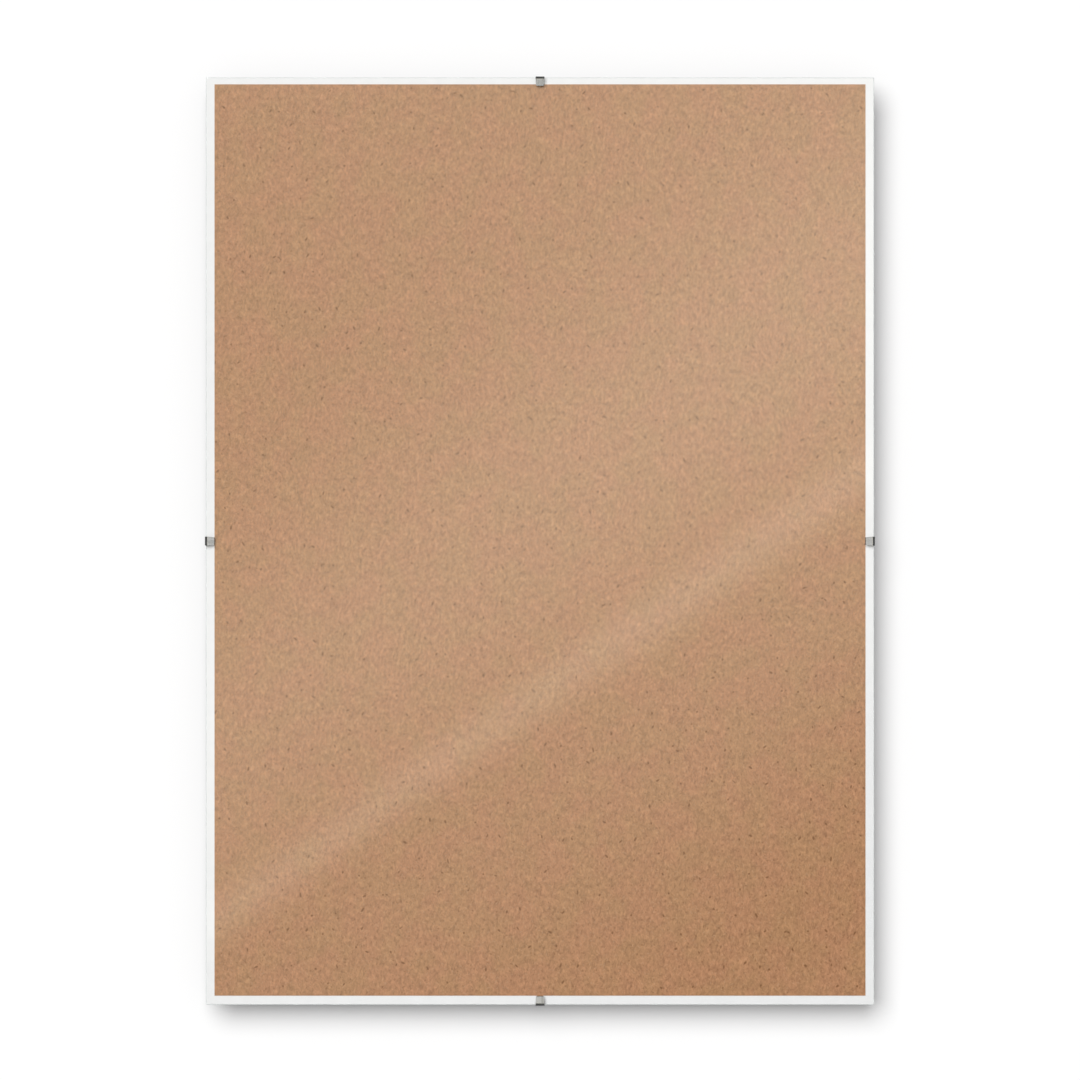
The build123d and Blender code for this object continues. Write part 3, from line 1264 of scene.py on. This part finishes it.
@dataclass
class Studio:
    """White wall, lamps, surroundings and camera."""

    view_height: float = 829.1 * MM  # of the picture at the glass
    view_rise: float = 0.8 * MM  # of the camera above the middle of the glass
    lens: float = 120.0
    sensor: float = 36.0
    wall_gap: float = 22.2 * MM  # behind the hindmost point of the frame
    wall_half: float = 3.0
    wall_tone: float = 0.97
    wall_glow: float = 0.05
    flag_gap: float = 1.0 * MM  # behind the hindmost point of the frame
    key: Lamp = Lamp(name="key_lamp", source=(-0.245, -1.0, 0.385), level=0.80, spread=math.radians(50))
    rear: Lamp = Lamp(name="rear_lamp", source=(0.45, 0.9, 0.6), level=0.68, spread=math.radians(30))
    soft_light: float = 0.20  # what the surroundings give to matt surfaces
    window: WindowGlow = WindowGlow()
    panel_half: Pair = (765.0, 665.0)  # of the bright panel round the window, in millimetres on the pane
    panel_level: float = 0.92
    panel_fade: float = 60.0  # soft edge of the window and of the panel, in the same measure
    belt_level: float = 0.10
    corner_level: float = 0.62
    corner_span: Pair = (0.16, 0.36)
    side_on: float = 0.05  # directions less to the front than this count as this much
    rear_fade: Pair = (-0.35, -0.7)  # to the front, so this far to the rear
    rear_span: Pair = (-0.45, 0.6)  # upwards, from the level of the floor to that of the sky
    floor_level: float = 0.3
    sky_level: float = 1.2

    def build(self) -> None:
        """Set up everything that isn't part of the object."""
        bpy.context.scene.view_settings.view_transform = "Standard"
        distance = self.view_height * self.lens / self.sensor
        self.build_camera(distance)
        self.build_wall()
        self.build_flag()
        self.key.build()
        self.rear.build()
        self.build_world(distance / MM)

    def build_camera(self, distance: float) -> None:
        """Place the camera square to the glass.

        Args:
            distance: from the camera to the glass.
        """
        low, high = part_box("glass_pane")
        data = bpy.data.cameras.new("camera")
        data.lens = self.lens
        data.sensor_width = self.sensor
        camera = bpy.data.objects.new("camera", data)
        camera.location = (0, low.y - distance, (low.z + high.z) / 2 + self.view_rise)
        camera.rotation_euler = (math.pi / 2, 0, 0)
        bpy.context.scene.collection.objects.link(camera)
        bpy.context.scene.camera = camera

    def build_wall(self) -> None:
        """Make the wall that takes the shadow; seen from behind it is clear."""
        graph = MaterialGraph("white_wall")
        lit = graph.node("ShaderNodeBsdfDiffuse", {"Color": (self.wall_tone,) * 3})
        glow = graph.node("ShaderNodeEmission", {"Strength": self.wall_glow})
        paint = graph.node("ShaderNodeAddShader", {0: lit.outputs[0], 1: glow.outputs[0]})
        low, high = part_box("glass_pane")
        half = Vector((self.wall_half, 0, self.wall_half))
        middle = Vector((0, cad_box[1][1] + self.wall_gap, (low.z + high.z) / 2))
        wall = self.stage_sheet("wall", middle - half, middle + half, graph, paint.outputs[0])
        wall.visible_diffuse = False

    def build_flag(self) -> None:
        """Hang a black flag behind the frame, which keeps brown light from the panel off the wall."""
        graph = MaterialGraph("black_flag")
        paint = graph.node("ShaderNodeBsdfDiffuse", {"Color": BLACK})
        low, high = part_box("back_panel")
        depth = cad_box[1][1] + self.flag_gap
        right = Vector((high.x, depth, low.z))
        left = Vector((low.x, depth, high.z))
        flag = self.stage_sheet("flag", right, left, graph, paint.outputs[0])
        flag.visible_camera = False
        flag.visible_transmission = False

    @staticmethod
    def stage_sheet(
        name: str, start: Vector, end: Vector, graph: MaterialGraph, paint: Socket
    ) -> bpy.types.Object:
        """Make an upright sheet of the stage, clear from behind, that isn't mirrored and casts no shadow.

        Args:
            name: name of the sheet.
            start: lower corner; the sheet faces the camera where it lies to the left of the other corner.
            end: upper corner.
            graph: graph of its material.
            paint: shader of its front.

        Returns:
            The new object.
        """
        clear = graph.node("ShaderNodeBsdfTransparent").outputs[0]
        behind = graph.node("ShaderNodeNewGeometry").outputs["Backfacing"]
        mixed = graph.node("ShaderNodeMixShader", {0: behind, 1: paint, 2: clear}).outputs[0]
        corners = [start, (end.x, end.y, start.z), end, (start.x, start.y, end.z)]
        mesh = bpy.data.meshes.new(name)
        mesh.from_pydata(corners, [], [(0, 1, 2, 3)])
        mesh.materials.append(graph.end(mixed))
        sheet = add_object(name, mesh)
        sheet.visible_glossy = False
        sheet.visible_shadow = False
        return sheet

    def build_world(self, distance: float) -> None:
        """Surround the object with white, and with a soft studio that the glass and steel mirror.

        Args:
            distance: from the camera to the glass in millimetres, which sets the mirrored cone.
        """
        world = bpy.data.worlds.new("studio")
        # Matt surfaces get an even light from all round, so the world needs no map of its bright places.
        world.cycles.sampling_method = "NONE"
        world.use_nodes = True
        world.node_tree.nodes.clear()
        bpy.context.scene.world = world
        graph = Graph(world.node_tree)
        towards = graph.split(graph.node("ShaderNodeTexCoord").outputs["Generated"])
        front = graph.math("MULTIPLY", towards["Y"], -1.0)
        reach = graph.math("DIVIDE", distance, graph.math("MAXIMUM", front, self.side_on))
        across = graph.math("MULTIPLY", towards["X"], reach)
        up = graph.math("MULTIPLY", towards["Z"], reach)
        path = graph.node("ShaderNodeLightPath").outputs
        round_window = self.outside(graph, across, up, self.window.half)
        round_panel = self.outside(graph, across, up, self.panel_half)
        level = graph.blend(round_window, self.window.brightness(graph, across, up), self.panel_level)
        level = graph.blend(round_panel, level, self.belt(graph, towards))
        rear = graph.ramp(towards["Z"], *self.rear_span, self.floor_level, self.sky_level)
        rear = graph.blend(path["Is Transmission Ray"], rear, 1.0)
        level = graph.blend(graph.ramp(front, *self.rear_fade), level, rear)
        level = graph.blend(path["Is Camera Ray"], level, 1.0)
        level = graph.blend(path["Is Diffuse Ray"], level, self.soft_light)
        plain = graph.math("MAXIMUM", path["Is Camera Ray"], path["Is Diffuse Ray"])
        untinted = graph.math("MAXIMUM", plain, round_window)
        colour = graph.mix(untinted, self.window.tint, WHITE)
        background = graph.node("ShaderNodeBackground", {"Color": colour, "Strength": level})
        graph.node("ShaderNodeOutputWorld", {"Surface": background.outputs[0]})

    def belt(self, graph: Graph, towards: Outputs) -> Socket:
        """Light what lies round the panel: dark beside, above and below it, soft lamps in the corners.

        Args:
            graph: the world's graph.
            towards: direction as X, Y and Z.

        Returns:
            The brightness.
        """
        aside = [graph.math("ABSOLUTE", towards[axis]) for axis in "XZ"]
        corner = graph.math("MINIMUM", *aside)
        return graph.ramp(corner, *self.corner_span, self.belt_level, self.corner_level)

    def outside(self, graph: Graph, across: Socket, up: Socket, half: Pair) -> Socket:
        """Mask what lies outside an upright rectangle on the mirrored pane.

        Args:
            graph: the world's graph.
            across: place to the right, in millimetres.
            up: place upwards, in millimetres.
            half: half the width and half the height of the rectangle.

        Returns:
            The mask.
        """
        wide = graph.math("SUBTRACT", graph.math("ABSOLUTE", across), half[0])
        high = graph.math("SUBTRACT", graph.math("ABSOLUTE", up), half[1])
        return graph.ramp(graph.math("MAXIMUM", wide, high), 0.0, self.panel_fade)


def main() -> None:
    """Build the frame's looks piece by piece, then the studio round it."""
    logging.basicConfig(level=logging.INFO, format="%(name)s: %(message)s")
    effects = Effects()
    Glazing().build(effects)
    SpringClips().build(effects)
    Hangers().build(effects)
    Studio().build()


if __name__ == "__main__":
    main()
